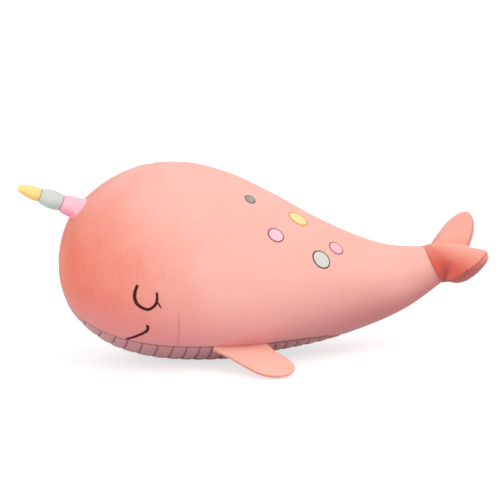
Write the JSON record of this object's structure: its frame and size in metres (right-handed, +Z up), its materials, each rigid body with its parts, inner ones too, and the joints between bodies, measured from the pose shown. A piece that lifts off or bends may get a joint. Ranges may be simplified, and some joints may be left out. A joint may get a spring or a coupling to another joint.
{
  "type": "plush toy",
  "caption": "Stuffed plush narwhal, a whale with a banded horn: a tapering body with a ribbed belly panel, side flippers and a tail fluke that bend on their seams.",
  "frame": {"origin": "on the flat patch under the belly that the toy lies on, on its centre plane", "axes": "+X from the head to the tail, +Y to the toy's right, +Z up"},
  "size_m": [0.6144, 0.3052, 0.2578],
  "materials": {
    "body_side_left": "matte",
    "body_side_right": "matte",
    "belly_panel": "matte",
    "body_stuffing": "matte",
    "horn_band_pink": "matte",
    "horn_band_mint": "matte",
    "horn_band_yellow": "matte",
    "horn_stuffing": "matte",
    "fluke_upper": "matte",
    "fluke_lower": "matte",
    "fluke_stuffing": "matte",
    "flipper_left_upper": "matte",
    "flipper_left_lower": "matte",
    "flipper_left_root_seam": "matte",
    "flipper_left_stuffing": "matte",
    "eye_left": "matte",
    "eyelash_left": "matte",
    "mouth_left": "matte",
    "spot_grey_left": "matte",
    "spot_grey_left_edging": "matte",
    "spot_yellow_left": "matte",
    "spot_yellow_left_edging": "matte",
    "spot_pink_left": "matte",
    "spot_pink_left_edging": "matte",
    "spot_rose_left": "matte",
    "spot_rose_left_edging": "matte",
    "spot_mint_left": "matte",
    "spot_mint_left_edging": "matte",
    "flipper_right_upper": "matte",
    "flipper_right_lower": "matte",
    "flipper_right_root_seam": "matte",
    "flipper_right_stuffing": "matte",
    "eye_right": "matte",
    "eyelash_right": "matte",
    "mouth_right": "matte",
    "spot_grey_right": "matte",
    "spot_grey_right_edging": "matte",
    "spot_yellow_right": "matte",
    "spot_yellow_right_edging": "matte",
    "spot_pink_right": "matte",
    "spot_pink_right_edging": "matte",
    "spot_rose_right": "matte",
    "spot_rose_right_edging": "matte",
    "spot_mint_right": "matte",
    "spot_mint_right_edging": "matte"
  },
  "bodies": {
    "body": {"body_side_left": "body_side_left", "body_side_right": "body_side_right", "belly_panel": "belly_panel", "body_stuffing": "body_stuffing", "eye_left": "eye_left", "eyelash_left": "eyelash_left", "mouth_left": "mouth_left", "spot_grey_left": "spot_grey_left", "spot_grey_left_edging": "spot_grey_left_edging", "spot_yellow_left": "spot_yellow_left", "spot_yellow_left_edging": "spot_yellow_left_edging", "spot_pink_left": "spot_pink_left", "spot_pink_left_edging": "spot_pink_left_edging", "spot_rose_left": "spot_rose_left", "spot_rose_left_edging": "spot_rose_left_edging", "spot_mint_left": "spot_mint_left", "spot_mint_left_edging": "spot_mint_left_edging", "eye_right": "eye_right", "eyelash_right": "eyelash_right", "mouth_right": "mouth_right", "spot_grey_right": "spot_grey_right", "spot_grey_right_edging": "spot_grey_right_edging", "spot_yellow_right": "spot_yellow_right", "spot_yellow_right_edging": "spot_yellow_right_edging", "spot_pink_right": "spot_pink_right", "spot_pink_right_edging": "spot_pink_right_edging", "spot_rose_right": "spot_rose_right", "spot_rose_right_edging": "spot_rose_right_edging", "spot_mint_right": "spot_mint_right", "spot_mint_right_edging": "spot_mint_right_edging"},
    "horn": {"horn_band_pink": "horn_band_pink", "horn_band_mint": "horn_band_mint", "horn_band_yellow": "horn_band_yellow", "horn_stuffing": "horn_stuffing"},
    "fluke": {"fluke_upper": "fluke_upper", "fluke_lower": "fluke_lower", "fluke_stuffing": "fluke_stuffing"},
    "flipper_left": {"flipper_left_upper": "flipper_left_upper", "flipper_left_lower": "flipper_left_lower", "flipper_left_root_seam": "flipper_left_root_seam", "flipper_left_stuffing": "flipper_left_stuffing"},
    "flipper_right": {"flipper_right_upper": "flipper_right_upper", "flipper_right_lower": "flipper_right_lower", "flipper_right_root_seam": "flipper_right_root_seam", "flipper_right_stuffing": "flipper_right_stuffing"}
  },
  "joints": [
    {"name": "horn_bend", "type": "hinge", "parent": "body", "child": "horn", "pos_m": [-0.17613, 0, 0.20226], "axis": [0, 1, 0], "range_deg": [-20, 20], "stiffness_Nm_per_rad": 0.4},
    {"name": "fluke_bend", "type": "hinge", "parent": "body", "child": "fluke", "pos_m": [0.32899, 0, 0.12164], "axis": [0, -1, 0], "range_deg": [-20, 20], "stiffness_Nm_per_rad": 0.8},
    {"name": "flipper_left_bend", "type": "hinge", "parent": "body", "child": "flipper_left", "pos_m": [0.02121, -0.0849, 0.02708], "axis": [-0.9938, -0.11, 0.013], "range_deg": [-30, 30], "stiffness_Nm_per_rad": 0.4},
    {"name": "flipper_right_bend", "type": "hinge", "parent": "body", "child": "flipper_right", "pos_m": [0.02121, 0.0849, 0.02708], "axis": [0.9938, -0.11, -0.013], "range_deg": [-30, 30], "stiffness_Nm_per_rad": 0.4}
  ]
}
